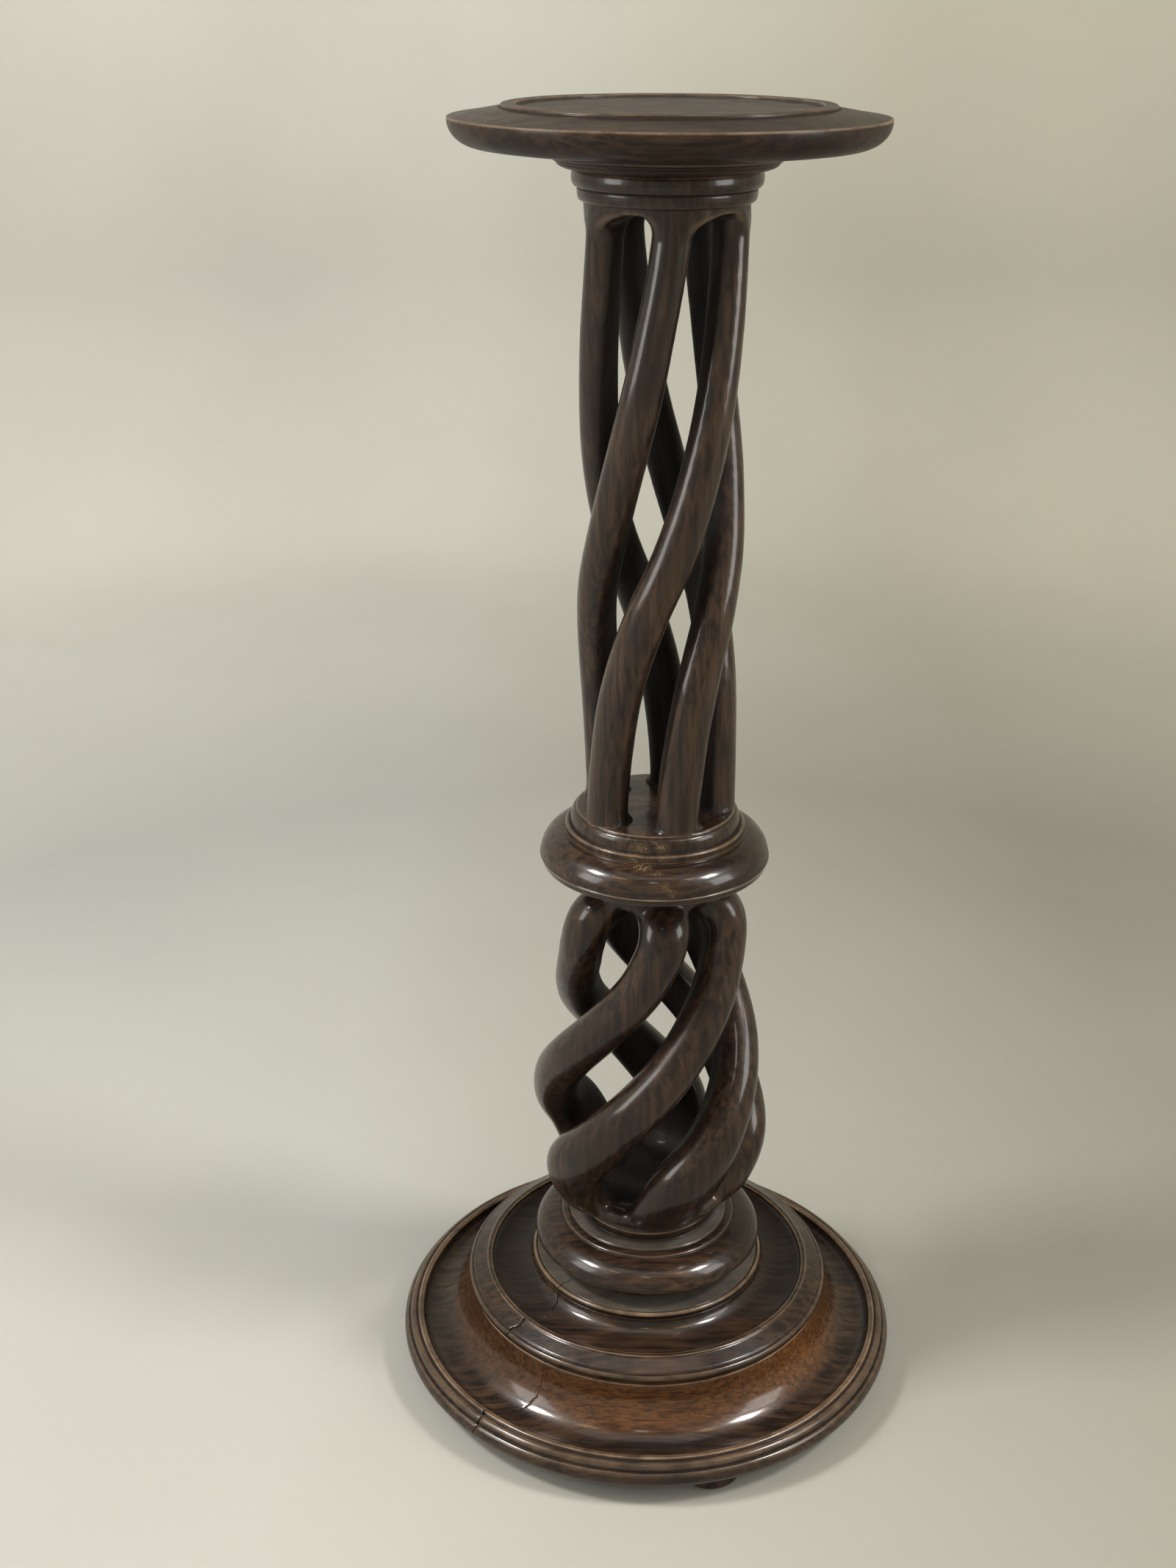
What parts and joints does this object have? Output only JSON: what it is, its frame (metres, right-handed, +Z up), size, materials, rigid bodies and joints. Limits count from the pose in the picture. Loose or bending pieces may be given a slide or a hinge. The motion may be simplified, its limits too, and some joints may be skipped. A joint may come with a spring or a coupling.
{
  "type": "barley twist pedestal",
  "caption": "Tall wooden pedestal with a round lipped top, an open twisted column above an open twisted bulb, turned rings between them, and a wide dished round base on bun feet.",
  "frame": {"origin": "on the floor, under the middle of the pedestal", "axes": "+Z up along the pedestal's axis, -Y towards the viewer of the picture"},
  "size_m": [0.411, 0.411, 1],
  "materials": {
    "top_oak": "dark stained, waxed to a low sheen, dusty grey in the recess",
    "column_oak": "dark stained, waxed, grain running up the strands",
    "collar_oak": "dark stained, waxed to a semi-gloss",
    "bulb_oak": "dark stained, waxed to a semi-gloss",
    "knop_oak": "dark stained, waxed to a semi-gloss",
    "plinth_oak": "dark stained, waxed, orange ray fleck, cracked along the grain",
    "base_oak": "dark stained, waxed, orange ray fleck, cracked along the grain",
    "foot_oak": "dark stained, dull"
  },
  "bodies": {
    "root": {"top": "top_oak", "upper_twist": "column_oak", "collar": "collar_oak", "lower_twist": "bulb_oak", "knop": "knop_oak", "plinth": "plinth_oak", "base": "base_oak", "foot_1": "foot_oak", "foot_2": "foot_oak", "foot_3": "foot_oak"}
  },
  "joints": []
}
